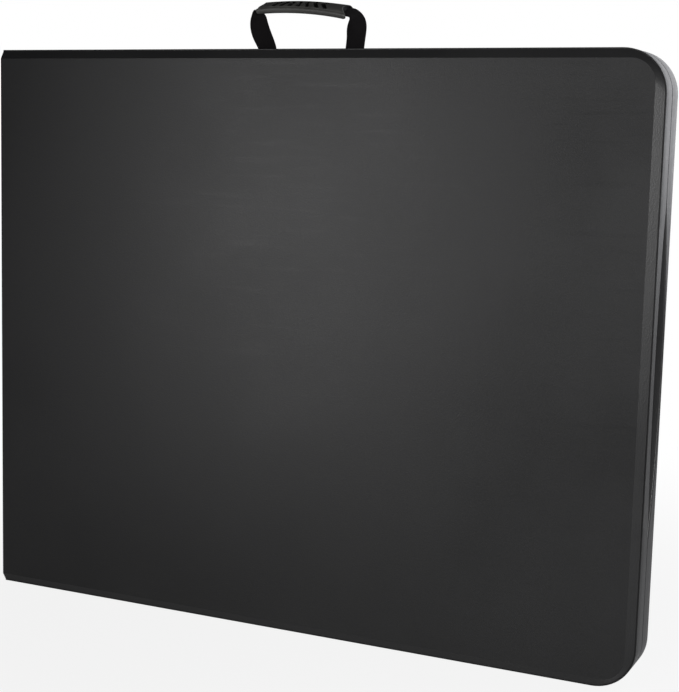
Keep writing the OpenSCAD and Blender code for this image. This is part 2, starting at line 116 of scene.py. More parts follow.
# The floor: its size, how it fades into the backdrop, and its least glow.
FLOOR_RADIUS = 14.0
FLOOR_SIDES = 96
FLOOR_DROP = 0.0005
FADE_FROM, FADE_TO = 0.3, 1.5
FADE_LEAST = 0.86
FLOOR_GLOW = 0.15


def rgb(r, g, b):
    return (r, g, b, 1.0)


def make_camera():
    """The photograph's viewing angle: from the open end, a little above the middle."""
    back = Vector(CAMERA_BACK).normalized()
    right = Vector(CAMERA_RIGHT)
    right = (right - back * right.dot(back)).normalized()
    up = back.cross(right)
    data = bpy.data.cameras.new("camera")
    data.sensor_width = 36.0
    data.lens = CAMERA_LENS
    data.clip_end = 60.0
    cam = bpy.data.objects.new("camera", data)
    turn = Matrix((right, up, back)).transposed().to_4x4()
    cam.matrix_world = Matrix.Translation(CAMERA_PLACE) @ turn
    bpy.context.collection.objects.link(cam)
    bpy.context.scene.camera = cam


def area_light(name, place, target, size, power, spread):
    """A rectangular light aimed at a point; power in watts, spread in degrees."""
    data = bpy.data.lights.new(name, "AREA")
    data.shape = "RECTANGLE"
    data.size, data.size_y = size
    data.energy = power
    data.spread = math.radians(spread)
    lamp = bpy.data.objects.new(name, data)
    lamp.location = place
    aim = Vector(target) - Vector(place)
    lamp.rotation_euler = aim.to_track_quat("-Z", "Y").to_euler()
    bpy.context.collection.objects.link(lamp)


def make_world():
    """White for the camera; as light, a bright backdrop and a dim front."""
    world = bpy.data.worlds.new("studio")
    bpy.context.scene.world = world
    world.use_nodes = True
    tree = world.node_tree
    tree.nodes.clear()
    out = tree.nodes.new("ShaderNodeOutputWorld")
    mix = tree.nodes.new("ShaderNodeMixShader")
    path = tree.nodes.new("ShaderNodeLightPath")
    seen = tree.nodes.new("ShaderNodeBackground")
    fill = tree.nodes.new("ShaderNodeBackground")
    coord = tree.nodes.new("ShaderNodeTexCoord")
    facing = tree.nodes.new("ShaderNodeVectorMath")
    ramp = tree.nodes.new("ShaderNodeMapRange")
    facing.operation = "DOT_PRODUCT"
    facing.inputs[1].default_value = FILL_TOWARDS
    ramp.interpolation_type = "SMOOTHSTEP"
    ramp.inputs["From Min"].default_value = FILL_FROM
    ramp.inputs["From Max"].default_value = FILL_TO
    ramp.inputs["To Min"].default_value = FILL_DIM
    ramp.inputs["To Max"].default_value = FILL_BRIGHT
    seen.inputs["Color"].default_value = rgb(1, 1, 1)
    seen.inputs["Strength"].default_value = 1.0
    fill.inputs["Color"].default_value = rgb(0.96, 0.965, 1.0)
    tree.links.new(coord.outputs["Generated"], facing.inputs[0])
    tree.links.new(facing.outputs["Value"], ramp.inputs["Value"])
    tree.links.new(ramp.outputs["Result"], fill.inputs["Strength"])
    tree.links.new(path.outputs["Is Camera Ray"], mix.inputs[0])
    tree.links.new(fill.outputs[0], mix.inputs[1])
    tree.links.new(seen.outputs[0], mix.inputs[2])
    tree.links.new(mix.outputs[0], out.inputs["Surface"])


def make_floor():
    """A pale floor that brightens into the white backdrop away from the table."""
    mesh = bpy.data.meshes.new("floor")
    turns = [a * math.tau / FLOOR_SIDES for a in range(FLOOR_SIDES)]
    verts = [(FLOOR_RADIUS * math.cos(a), FLOOR_RADIUS * math.sin(a), 0) for a in turns]
    mesh.from_pydata(verts, [], [tuple(range(FLOOR_SIDES))])
    floor = bpy.data.objects.new("floor", mesh)
    floor.location.z = -FLOOR_DROP
    bpy.context.collection.objects.link(floor)
    mat = bpy.data.materials.new("floor")
    mat.use_nodes = True
    tree = mat.node_tree
    tree.nodes.clear()
    out = tree.nodes.new("ShaderNodeOutputMaterial")
    mix = tree.nodes.new("ShaderNodeMixShader")
    pale = tree.nodes.new("ShaderNodeBsdfDiffuse")
    glow = tree.nodes.new("ShaderNodeEmission")
    coord = tree.nodes.new("ShaderNodeTexCoord")
    reach = tree.nodes.new("ShaderNodeVectorMath")
    ramp = tree.nodes.new("ShaderNodeMapRange")
    path = tree.nodes.new("ShaderNodeLightPath")
    seen = tree.nodes.new("ShaderNodeMath")
    least = tree.nodes.new("ShaderNodeMath")
    reach.operation = "LENGTH"
    seen.operation = "MULTIPLY"
    least.operation = "MAXIMUM"
    least.inputs[1].default_value = FLOOR_GLOW
    pale.inputs["Color"].default_value = rgb(0.9, 0.9, 0.905)
    glow.inputs["Color"].default_value = rgb(1, 1, 1)
    glow.inputs["Strength"].default_value = 1.0
    ramp.interpolation_type = "SMOOTHSTEP"
    ramp.inputs["From Min"].default_value = FADE_FROM
    ramp.inputs["From Max"].default_value = FADE_TO
    ramp.inputs["To Min"].default_value = FADE_LEAST
    ramp.inputs["To Max"].default_value = 1.0
    tree.links.new(coord.outputs["Object"], reach.inputs[0])
    tree.links.new(reach.outputs["Value"], ramp.inputs["Value"])
    tree.links.new(ramp.outputs["Result"], seen.inputs[0])
    tree.links.new(path.outputs["Is Camera Ray"], seen.inputs[1])
    tree.links.new(seen.outputs["Value"], least.inputs[0])
    tree.links.new(least.outputs["Value"], mix.inputs[0])
    tree.links.new(pale.outputs[0], mix.inputs[1])
    tree.links.new(glow.outputs[0], mix.inputs[2])
    tree.links.new(mix.outputs[0], out.inputs["Surface"])
    mesh.materials.append(mat)


# ---------------------------------------------------------------- node helpers
class Mat:
    """A small builder for one procedural material on the Principled shader."""

    def __init__(self, name, colour, rough, metal=0.0, spec=0.5):
        self.mat = bpy.data.materials.new(name)
        self.mat.use_nodes = True
        self.tree = self.mat.node_tree
        self.shader = self.tree.nodes["Principled BSDF"]
        self.shader.inputs["Base Color"].default_value = rgb(*colour)
        self.shader.inputs["Roughness"].default_value = rough
        self.shader.inputs["Metallic"].default_value = metal
        self.shader.inputs["Specular IOR Level"].default_value = spec
        self.coord = self.node("ShaderNodeTexCoord").outputs["Object"]
        self.height = None

    def node(self, kind, **props):
        n = self.tree.nodes.new(kind)
        for k, v in props.items():
            setattr(n, k, v)
        return n

    def link(self, a, b):
        self.tree.links.new(a, b)

    def stretch(self, scale, turn=(0, 0, 0)):
        m = self.node("ShaderNodeMapping")
        m.inputs["Scale"].default_value = scale
        m.inputs["Rotation"].default_value = turn
        self.link(self.coord, m.inputs["Vector"])
        return m.outputs[0]

    def noise(self, scale, detail, vector=None, rough=0.5):
        n = self.node("ShaderNodeTexNoise")
        n.inputs["Scale"].default_value = scale
        n.inputs["Detail"].default_value = detail
        n.inputs["Roughness"].default_value = rough
        self.link(vector or self.coord, n.inputs["Vector"])
        return n.outputs["Fac"]

    def pebbles(self, scale):
        n = self.node("ShaderNodeTexVoronoi", feature="SMOOTH_F1")
        n.inputs["Scale"].default_value = scale
        self.link(self.coord, n.inputs["Vector"])
        return n.outputs["Distance"]

    def ribs(self, scale, lean):
        """Fine parallel ribs across Z, leaning by an angle in degrees."""
        n = self.node("ShaderNodeTexWave", bands_direction="Z")
        n.inputs["Scale"].default_value = scale
        self.link(self.stretch((1, 1, 1), (0, math.radians(lean), 0)), n.inputs["Vector"])
        return n.outputs["Fac"]

    def remap(self, value, lo, hi, to_lo=0.0, to_hi=1.0):
        n = self.node("ShaderNodeMapRange")
        n.inputs["From Min"].default_value = lo
        n.inputs["From Max"].default_value = hi
        n.inputs["To Min"].default_value = to_lo
        n.inputs["To Max"].default_value = to_hi
        self.link(value, n.inputs["Value"])
        return n.outputs["Result"]

    def maths(self, op, a, b):
        """One sum on two values, each a socket or a plain number."""
        n = self.node("ShaderNodeMath", operation=op)
        for i, v in enumerate((a, b)):
            if isinstance(v, (int, float)):
                n.inputs[i].default_value = v
            else:
                self.link(v, n.inputs[i])
        return n.outputs[0]

    def blend(self, fac, a, b):
        """A colour between two, each a socket or an (r, g, b) tuple."""
        n = self.node("ShaderNodeMix", data_type="RGBA")
        self.link(fac, n.inputs["Factor"])
        for socket, v in (("A", a), ("B", b)):
            s = next(i for i in n.inputs if i.name == socket and i.type == "RGBA")
            if isinstance(v, tuple):
                s.default_value = rgb(*v)
            else:
                self.link(v, s)
        return next(o for o in n.outputs if o.type == "RGBA")

    def colour(self, value):
        self.link(value, self.shader.inputs["Base Color"])

    def rough(self, value):
        self.link(value, self.shader.inputs["Roughness"])

    def bump(self, value, strength, distance):
        """Adds one more layer of bump on top of those there are already."""
        n = self.node("ShaderNodeBump")
        n.inputs["Strength"].default_value = strength
        n.inputs["Distance"].default_value = distance
        self.link(value, n.inputs["Height"])
        if self.height:
            self.link(self.height, n.inputs["Normal"])
        self.height = n.outputs["Normal"]
        self.link(self.height, self.shader.inputs["Normal"])


def moulded_plastic(name, dark, light, rough):
    """Blow-moulded polyethylene: pebbled grain, faint clouding and fine scuffs."""
    m = Mat(name, dark, rough, spec=0.42)
    cloud = m.remap(m.noise(5.0, 4.0), 0.35, 0.65)
    fleck = m.remap(m.noise(900.0, 2.0), 0.4, 0.75)
    tone = m.blend(cloud, dark, light)
    pale = tuple(c * 1.9 for c in light)
    m.colour(m.blend(m.maths("MULTIPLY", fleck, 0.35), tone, pale))
    streak = m.remap(m.noise(60.0, 5.0, m.stretch((0.15, 1.0, 2.4))), 0.55, 0.8)
    gloss = m.maths("ADD", m.maths("MULTIPLY", cloud, 0.05), rough - 0.03)
    m.rough(m.maths("SUBTRACT", gloss, m.maths("MULTIPLY", streak, 0.06)))
    m.bump(m.pebbles(620.0), 0.16, 0.0006)
    m.bump(m.noise(2100.0, 2.0), 0.10, 0.0003)
    m.bump(m.noise(9.0, 2.0), 0.05, 0.004)
    return m.mat


# ---------------------------------------------------------------- mesh helpers
def show(name, verts, faces, mat, sharp):
    """Makes a piece from lists of points and faces, with outward normals."""
    mesh = bpy.data.meshes.new(name)
    mesh.from_pydata([tuple(v) for v in verts], [], faces)
    mesh.validate()
    bm = bmesh.new()
    bm.from_mesh(mesh)
    bmesh.ops.remove_doubles(bm, verts=bm.verts, dist=1e-6)
    bmesh.ops.recalc_face_normals(bm, faces=bm.faces)
    bm.to_mesh(mesh)
    bm.free()
    obj = bpy.data.objects.new(name, mesh)
    bpy.context.collection.objects.link(obj)
    mesh.materials.append(mat)
    smooth(obj, sharp)
    return obj


def smooth(obj, angle):
    """Smooth shading, with creases steeper than the angle left sharp."""
    mesh = obj.data
    mesh.shade_smooth()
    mesh.set_sharp_from_angle(angle=math.radians(angle))


def cut(obj, cutters, angle):
    """Subtracts closed helper meshes from a piece and applies the result."""
    for c in cutters:
        mod = obj.modifiers.new("cut", "BOOLEAN")
        mod.operation = "DIFFERENCE"
        mod.solver = "EXACT"
        mod.object = c
    graph = bpy.context.evaluated_depsgraph_get()
    graph.update()
    mesh = bpy.data.meshes.new_from_object(obj.evaluated_get(graph))
    obj.modifiers.clear()
    old = obj.data
    obj.data = mesh
    bpy.data.meshes.remove(old)
    for c in cutters:
        data = c.data
        bpy.data.objects.remove(c)
        bpy.data.meshes.remove(data)
    smooth(obj, angle)


def bridge(loops):
    """Quads between closed loops of equal length, with a face over each end."""
    n = len(loops[0])
    verts = [p for loop in loops for p in loop]
    faces = []
    for k in range(len(loops) - 1):
        a, b = k * n, (k + 1) * n
        for i in range(n):
            j = (i + 1) % n
            faces.append((a + i, a + j, b + j, b + i))
    faces.append(tuple(reversed(range(n))))
    last = (len(loops) - 1) * n
    faces.append(tuple(last + i for i in range(n)))
    return verts, faces


def cutter(verts, faces):
    """A closed helper mesh for subtraction, with outward normals."""
    mesh = bpy.data.meshes.new("cutter")
    mesh.from_pydata([tuple(v) for v in verts], [], faces)
    bm = bmesh.new()
    bm.from_mesh(mesh)
    bmesh.ops.recalc_face_normals(bm, faces=bm.faces)
    bm.to_mesh(mesh)
    bm.free()
    obj = bpy.data.objects.new("cutter", mesh)
    bpy.context.collection.objects.link(obj)
    return obj


def box_cutter(lo, hi):
    """A box between two corners."""
    xs, ys, zs = zip(lo, hi)
    verts = [(x, y, z) for x in xs for y in ys for z in zs]
    faces = [(0, 1, 3, 2), (4, 6, 7, 5), (0, 4, 5, 1),
             (2, 3, 7, 6), (0, 2, 6, 4), (1, 5, 7, 3)]
    return cutter(verts, faces)


def rod_cutter(x, y, z0, z1, radius):
    """A cylinder along Z."""
    sides = 40
    turns = [a * math.tau / sides for a in range(sides)]
    ring = [(x + radius * math.cos(a), y + radius * math.sin(a)) for a in turns]
    return cutter(*bridge([[(px, py, z) for px, py in ring] for z in (z0, z1)]))


# ---------------------------------------------------------------- table-top halves
# LIP is the rounding of the rim's edges; LEDGE is the step from wall to bevel.
LIP = 0.0016
LIP_STEPS = 5
LEDGE_Y = BEVEL_D - HALF
LEDGE_W = 0.0019
# (inset, depth) across it: a rounded corner, then the fine groove by the bevel.
LEDGE_LINE = ((0.00015, 0.0003), (0.0004, 0), (0.0006, 0.0012), (0.0015, 0.0012), (LEDGE_W, 0))
BEVEL_STEPS = (0.0005, 0.2, 0.4, 0.6, 0.8, 0.92)
FACE_EDGE = 0.0014
# Each shell stops this short of the hinge line, where the two meet when open.
HINGE_CLEAR = 0.0004
# The finger gap: how far it reaches past the rim, and where the sinking fades.
GAP_REACH = 0.004
GAP_SHOULDER = -0.0025
GAP_LOWEST = LEDGE_Y + 0.0006
# The underside skin: lap under the rims, grid, dimples and thickness.
SKIN_LAP = 0.001
SKIN_GRID = (200, 168)
SKIN_T = 0.0065
DIMPLE_PITCH = 0.034
DIMPLE_DEEP = 0.0042
DIMPLE_WIDE = 0.0115
DIMPLE_MARGIN = 0.02


def outline(y, x0, x1, z0, radius, lip_depth=0.0):
    """One closed outline at depth y; the two corners at the open end are rounded.

    lip_depth sinks the rim at the open end along an arc, for the finger gap.
    """
    z1 = HEIGHT - z0
    # Points along each long edge, each corner, the open end and the hinge end.
    run, arc, side, back = 30, 16, 72, 20
    pts = [(x0 + (x1 - radius - x0) * i / run, z0) for i in range(run)]
    for i in range(arc):
        a = math.pi / 2 * (i / arc - 1)
        pts.append((x1 - radius + radius * math.cos(a), z0 + radius + radius * math.sin(a)))
    pts += [(x1, z0 + radius + (z1 - z0 - 2 * radius) * i / side) for i in range(side)]
    for i in range(arc):
        a = math.pi / 2 * i / arc
        pts.append((x1 - radius + radius * math.cos(a), z1 - radius + radius * math.sin(a)))
    pts += [(x1 - radius + (x0 - x1 + radius) * i / run, z1) for i in range(run)]
    pts += [(x0, z1 + (z0 - z1) * i / back) for i in range(back)]
    return [(x, y - lip_drop(x, y, z, lip_depth), z) for x, z in pts]


def lip_drop(x, y, z, lip_depth):
    """How far the rim sinks at one point, for the finger gap at the open end."""
    if not lip_depth or x < RIGHT - END_RIM - GAP_REACH:
        return 0.0
    across = (z - MID_Z) / GAP_HALF
    drop = lip_depth * max(0.0, 1.0 - across * across)
    if y < GAP_SHOULDER:
        fade = (y - GAP_LOWEST) / (GAP_SHOULDER - GAP_LOWEST)
        return drop * max(0.0, min(1.0, fade))
    return min(drop, y - GAP_LOWEST)


def half_shell(name, lip_depth, mat):
    """Outer skin and rims of one half, as a closed shell.

    The loops run from the bottom of the recess up its inner wall, over the
    rounded rim, down the outer wall, across the step and the bevel, to the face.
    """
    loops = []

    def rim(y, grow):
        """A loop on the inner wall of the recess, grown towards the rim."""
        return outline(y, LEFT + HINGE_RIM - grow, RIGHT - END_RIM + grow,
                       SIDE_RIM - grow, RECESS_CORNER + grow, lip_depth)

    def wall(y, inset, radius, depth=0.0):
        """A loop on the outside, inset from the edges except at the hinge."""
        return outline(y, LEFT + HINGE_CLEAR, RIGHT - inset, inset, radius, depth)

    for y in (LEDGE_Y + 0.0003, -0.012, -0.004):
        loops.append(rim(y, 0.0))
    for k in range(LIP_STEPS + 1):
        a = math.pi / 2 * k / LIP_STEPS
        loops.append(rim(-LIP + LIP * math.sin(a), LIP * (1 - math.cos(a))))
    for k in range(LIP_STEPS + 1):
        a = math.pi / 2 * k / LIP_STEPS
        inset = LIP * (1 - math.sin(a))
        loops.append(wall(-LIP * (1 - math.cos(a)), inset, CORNER - inset, lip_depth))
    for y in (-0.004, -0.014, LEDGE_Y + 0.0007):
        loops.append(wall(y, 0.0, CORNER, lip_depth))
    for inset, sunk in LEDGE_LINE:
        loops.append(wall(LEDGE_Y + sunk, inset, CORNER - inset))
    top_y = -HALF
    slope = (top_y - LEDGE_Y) / (BEVEL_W - LEDGE_W)
    for step in BEVEL_STEPS:
        inset = LEDGE_W + (BEVEL_W - LEDGE_W) * step
        radius = CORNER - LEDGE_W + (PANEL_CORNER - CORNER + LEDGE_W) * step
        loops.append(wall(LEDGE_Y + slope * (inset - LEDGE_W), inset, radius))
    for inset in (BEVEL_W, BEVEL_W + FACE_EDGE):
        loops.append(wall(top_y, inset, PANEL_CORNER + BEVEL_W - inset))
    verts, faces = bridge(loops)
    return show(name, verts, faces, mat, CRISP)


def underside(name, mat):
    """The recessed underside skin, with a field of moulded kiss-off dimples."""
    x0, x1 = LEFT + HINGE_RIM - SKIN_LAP, RIGHT - END_RIM + SKIN_LAP
    z0, z1 = SIDE_RIM - SKIN_LAP, HEIGHT - SIDE_RIM + SKIN_LAP
    nx, nz = SKIN_GRID
    pitch = DIMPLE_PITCH
    verts = []
    for i in range(nx + 1):
        for k in range(nz + 1):
            x = x0 + (x1 - x0) * i / nx
            z = z0 + (z1 - z0) * k / nz
            row = round((x - x0) / pitch)
            shift = pitch / 2 if row % 2 else 0.0
            dx = x - x0 - row * pitch
            dz = (z - MID_Z + shift) - pitch * round((z - MID_Z + shift) / pitch)
            near = math.hypot(dx, dz)
            dip = 0.0
            if near < DIMPLE_WIDE and min(x - x0, x1 - x, z - z0, z1 - z) > DIMPLE_MARGIN:
                dip = DIMPLE_DEEP * (0.5 + 0.5 * math.cos(math.pi * near / DIMPLE_WIDE)) ** 0.6
            verts.append((x, -RECESS - dip, z))
    faces = []
    for i in range(nx):
        for k in range(nz):
            a = i * (nz + 1) + k
            faces.append((a, a + 1, a + nz + 2, a + nz + 1))
    n = len(verts)
    rim = [i * (nz + 1) for i in range(nx + 1)]
    rim += [nx * (nz + 1) + k for k in range(1, nz + 1)]
    rim += [i * (nz + 1) + nz for i in range(nx - 1, -1, -1)]
    rim += [k for k in range(nz - 1, 0, -1)]
    for r in rim:
        x, _, z = verts[r]
        verts.append((x, -RECESS - SKIN_T, z))
    for i, r in enumerate(rim):
        j = (i + 1) % len(rim)
        faces.append((r, rim[j], n + j, n + i))
    faces.append(tuple(n + i for i in range(len(rim))))
    return show(name, verts, faces, mat, SKIN_CREASE)


def hinge_cutters():
    """Room for the two hinges: a bore for the knuckles and a socket for the leaf."""
    spare, bore_spare = 0.001, 0.0015
    cutters = []
    for z in (HINGE_IN, HEIGHT - HINGE_IN):
        low, high = z - HINGE_LEN / 2 - spare, z + HINGE_LEN / 2 + spare
        cutters.append(rod_cutter(LEFT, 0.0, low, high, BARREL + bore_spare))
        cutters.append(box_cutter((LEFT - 2 * spare, -LEAF_DEEP, low),
                                  (LEFT + LEAF_LEN + spare, PAST, high)))
    return cutters


def latch_cutter():
    """The bed that the latch plate turns in, flush with the top edge."""
    return box_cutter((LATCH_X - LATCH_BED_LEFT, LATCH_BED_Y, HEIGHT - LATCH_BED_DEEP),
                      (LATCH_X + LATCH_BED_RIGHT, PAST, HEIGHT + PAST))


def notch_cutter(s):
    """The notch in the near rim for one webbing tail."""
    x = s * WEB_GAP / 2
    half = WEB_W / 2 + NOTCH_SPARE
    return box_cutter((x - half, -NOTCH_D, HEIGHT - NOTCH_H), (x + half, PAST, HEIGHT + PAST))


def mirror_y(obj):
    """Turns a near piece into the matching far piece."""
    bm = bmesh.new()
    bm.from_mesh(obj.data)
    for v in bm.verts:
        v.co.y = -v.co.y
    bmesh.ops.reverse_faces(bm, faces=bm.faces)
    bm.to_mesh(obj.data)
    bm.free()
    smooth(obj, CRISP)


def table_tops(mat):
    """The shells and undersides of both halves."""
    near = half_shell("near_top_shell", GAP_NEAR, mat)
    cutters = hinge_cutters() + [latch_cutter(), notch_cutter(-1), notch_cutter(1)]
    cut(near, cutters, CRISP)
    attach(near, "near_half")
    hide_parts("near_top")
    far = half_shell("far_top_shell", GAP_FAR, mat)
    cut(far, hinge_cutters() + [latch_cutter()], CRISP)
    mirror_y(far)
    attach(far, "far_half")
    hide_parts("far_top")
    for name, body in (("near_underside", "near_half"), ("far_underside", "far_half")):
        skin = underside(name, mat)
        if body == "far_half":
            mirror_y(skin)
        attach(skin, body)


# ---------------------------------------------------------------- carry handle
# The grip's middle, length, half width and half thickness, and its bow, its
# drop from left to right, its lean towards the near side, and its twist.
GRIP_X = -0.009
GRIP_Y = WEB_Y - 0.003
GRIP_Z = HEIGHT + 0.052
GRIP_LEN = 0.125
GRIP_HALF_W = 0.0130
GRIP_HALF_T = 0.0056
GRIP_DIP = 0.0040
GRIP_DROP = 0.0065
GRIP_LEAN = math.radians(25.0)
GRIP_TWIST = math.radians(4.5)
GRIP_GRID = (280, 128)
# The last part of each end draws in by this share.
END_FROM = 0.96
END_SHRINK = 0.50
# How far the top of the section crowns, and how far the back bulges.
GRIP_CROWN = 0.0009
GRIP_BULGE = 0.0012
# The fine line along the top near one side.
LINE_AT = 0.82
LINE_WIDE = 0.05
LINE_DEEP = 0.0008
# The notch between the two prongs at each end.
FORK_FROM = 0.80
FORK_DEPTH = 0.0085
# Arrow grooves: (place along the grip, which way it points and how strongly).
ARROWS = ((-0.56, 1), (-0.39, 1), (-0.24, 0.5), (-0.08, 0.2),
          (0.09, -0.4), (0.30, -1), (0.48, -1))
# Their middle and half width across the grip, half width along it, slant of
# the blunt ones, reach of the tip, sweep of the arms, depth, and run-out.
ARROW_MID = 0.02
ARROW_HALF = 0.70
ARROW_WIDE = 0.046
ARROW_SLANT = 0.035
ARROW_TIP = 0.045
ARROW_SWEEP = 0.10
ARROW_DEEP = 0.0024
ARROW_END = 0.14
# Faces deeper in a groove than this take the darker material: painted shade in the grooves.
SHADE_FROM = 0.0005
# The slot for the webbing in each end: where it runs, half width and height.
SOCKET_RUN = (0.86, 1.12)
SOCKET_HALF = (0.0117, 0.0021)
SOCKET_LIFT = 0.0002


def grip_frame(t):
    """Centre of the grip at t from -1 to 1, and its long, side and up directions."""
    x = GRIP_X + t * GRIP_LEN / 2
    z = GRIP_Z - GRIP_DIP * t * t - GRIP_DROP * 0.5 * t
    slope = (-2 * GRIP_DIP * t - GRIP_DROP * 0.5) / (GRIP_LEN / 2)
    along = Vector((1, 0, slope)).normalized()
    lean = Matrix.Rotation(GRIP_LEAN + GRIP_TWIST * t, 3, "X")
    side = lean @ Vector((0, -1, 0))
    up = along.cross(side)
    if up.z < 0:
        up = -up
    return Vector((x, GRIP_Y, z)), along, side, up


def arrow_depth(t, w):
    """Depth of the arrow grooves at t along and w across the top of the grip."""
    v = (w - ARROW_MID) / ARROW_HALF
    if abs(v) > 1:
        return 0.0
    depth = 0.0
    for at, point in ARROWS:
        slant = ARROW_SLANT * v * (1 - abs(point))
        line = at + slant + point * (ARROW_TIP - ARROW_SWEEP * abs(v))
        gap = abs(t - line) / ARROW_WIDE
        if gap < 1:
            depth = max(depth, ARROW_DEEP * (1 - gap ** 4) * min(1.0, (1 - abs(v)) / ARROW_END))
    return depth


def grip_ring(t, ring):
    """One section of the grip at t, and how deep the arrow grooves are round it."""
    centre, along, side, up = grip_frame(t)
    end = max(0.0, (abs(t) - END_FROM) / (1 - END_FROM))
    shrink = math.sqrt(max(0.0, 1 - (END_SHRINK * end) ** 2))
    waist = 1.0 + 0.07 * abs(t) ** 3
    fork = max(0.0, (abs(t) - FORK_FROM) / (1 - FORK_FROM))
    loop, depths = [], []
    for k in range(ring):
        a = math.tau * k / ring
        w = math.cos(a)
        h = math.copysign(max(0.0, 1 - abs(w) ** 3.2) ** 0.36, math.sin(a))
        lift = h * GRIP_HALF_T * shrink
        depth = 0.0
        if h > 0:
            depth = arrow_depth(t, w) * min(1.0, h * 1.3)
            lift += GRIP_CROWN * (1 - w * w) * h - depth
            lift -= LINE_DEEP * math.exp(-((w - LINE_AT) / LINE_WIDE) ** 2)
        else:
            lift += GRIP_BULGE * (1 - abs(w) ** 3) * -h
        pull = -math.copysign(FORK_DEPTH * fork * (1 - abs(w) ** 1.6), t)
        reach = w * GRIP_HALF_W * waist * shrink
        loop.append(centre + along * pull + side * reach + up * lift)
        depths.append(depth)
    return loop, depths


def grip(mat, shade):
    """The moulded grip: bowed, flat-backed, grooved on top and forked at both ends. Its grooves
    and end faces take a darker copy of the plastic: painted shade.
    """
    stations, ring = GRIP_GRID
    loops, depths = [], []
    for i in range(stations + 1):
        loop, row = grip_ring(-1 + 2 * i / stations, ring)
        loops.append(loop)
        depths += row
    verts, faces = bridge(loops)
    body = show("carry_grip_moulding", verts, faces, mat, GRIP_CREASE)
    body.data.materials.append(shade)
    # The end faces and the deeper groove faces take the second, darker material: painted shade,
    # so the grooves look shadowed and the ends look like hollow sockets.
    for poly in body.data.polygons:
        is_end = len(poly.vertices) > 4
        if is_end or max(depths[v] for v in poly.vertices) > SHADE_FROM:
            poly.material_index = 1
    cut(body, [grip_socket(-1), grip_socket(1)], GRIP_CREASE)
    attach(body, "handle")
    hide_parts("carry_grip")


def grip_socket(s):
    """Cutter for the slot that the webbing enters at one end of the grip."""
    half_w, half_t = SOCKET_HALF
    loops = []
    for t in SOCKET_RUN:
        centre, _, side, up = grip_frame(s * t)
        loops.append([centre + side * (a * half_w) + up * (b * half_t + SOCKET_LIFT)
                      for a, b in ((-1, -1), (1, -1), (1, 1), (-1, 1))])
    return cutter(*bridge(loops))


def bezier(points, steps):
    """Points along a chain of cubic Bezier spans."""
    out = []
    for i in range(0, len(points) - 3, 3):
        a, b, c, d = (Vector(p) for p in points[i:i + 4])
        last = i + 4 >= len(points)
        for k in range(steps + (1 if last else 0)):
            t = k / steps
            u = 1 - t
            out.append(a * u ** 3 + b * (3 * u * u * t) + c * (3 * u * t * t) + d * t ** 3)
    return out


# Per tail: its name, how far it sways just above the edge, how far it has moved
# sideways below the grip, and where its quarter turn begins and how long it is.
TAILS = {-1: ("webbing_left", -0.0040, -0.0125, 0.35, 0.52),
         1: ("webbing_right", 0.0015, 0.0035, 0.42, 0.46)}
# Points in each span of the route, columns across each face, how far the band
# cups in its turn, and how far its woven edges stand up.
WEB_STEPS = 26
WEB_COLS = 20
WEB_CUP = 0.0013
SELVEDGE = 0.00022


def strap_route(s):
    """The middle line of one webbing tail, from its clamp up into the grip.

    The lower heights are from the table's edge, the upper ones from the grip's end.
    """
    _, sway, lean, _, _ = TAILS[s]
    root_x = s * WEB_GAP / 2
    end = grip_frame(s * 0.88)[0]
    tip = grip_frame(s * 0.99)[0]
    return [
        (root_x, WEB_Y, HEIGHT - NOTCH_H + 0.004),
        (root_x, WEB_Y, HEIGHT - 0.018),
        (root_x, WEB_Y, HEIGHT - 0.008),
        (root_x, WEB_Y, HEIGHT + 0.001),
        (root_x + sway, WEB_Y, HEIGHT + 0.014),
        (root_x + lean, GRIP_Y, HEIGHT + 0.024),
        (root_x + lean, GRIP_Y, tip.z - 0.012),
        (root_x + lean, GRIP_Y, tip.z - 0.003),
        (tip.x + s * 0.007, GRIP_Y, tip.z + 0.0014),
        tuple(end),
    ]


def web_ring(p, across, normal, turn):
    """One section of the webbing at p: thin, cupped in the turn, with selvedges."""
    width = WEB_W / 2 * (1 - 0.10 * turn)
    cup = WEB_CUP * math.sin(math.pi * turn)
    loop = []
    for face in (1, -1):
        for k in range(WEB_COLS + 1):
            w = (-1 + 2 * k / WEB_COLS) * face
            edge = math.sqrt(max(0.0, 1 - abs(w) ** 14))
            raised = SELVEDGE if 0.80 < abs(w) < 0.97 else 0.0
            off = face * (WEB_T / 2 * (0.35 + 0.65 * edge) + raised) - cup * w * w
            loop.append(p + across * (w * width) + normal * off)
    return loop


def webbing(mat):
    """Both webbing tails: ribbed bands that turn as they climb into the grip."""
    for s, (name, _, _, begin, span) in TAILS.items():
        path = bezier(strap_route(s), WEB_STEPS)
        last = len(path) - 1
        grip_side = grip_frame(s * 0.95)[2]
        loops = []
        for i, p in enumerate(path):
            ahead = path[min(last, i + 1)] - path[max(0, i - 1)]
            ahead.normalize()
            turn = max(0.0, min(1.0, (i / last - begin) / span))
            turn = turn * turn * (3 - 2 * turn)
            angle = turn * math.pi / 2
            across = Vector((math.cos(angle), 0, 0)) - grip_side * math.sin(angle)
            across = (across - ahead * across.dot(ahead)).normalized()
            loops.append(web_ring(p, across, ahead.cross(across).normalized(), turn))
        verts, faces = bridge(loops)
        band = show(name, verts, faces, mat, WEB_CREASE)
        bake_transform(band)
        if s < 0:
            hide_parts("carry_strap", "strap_tails")


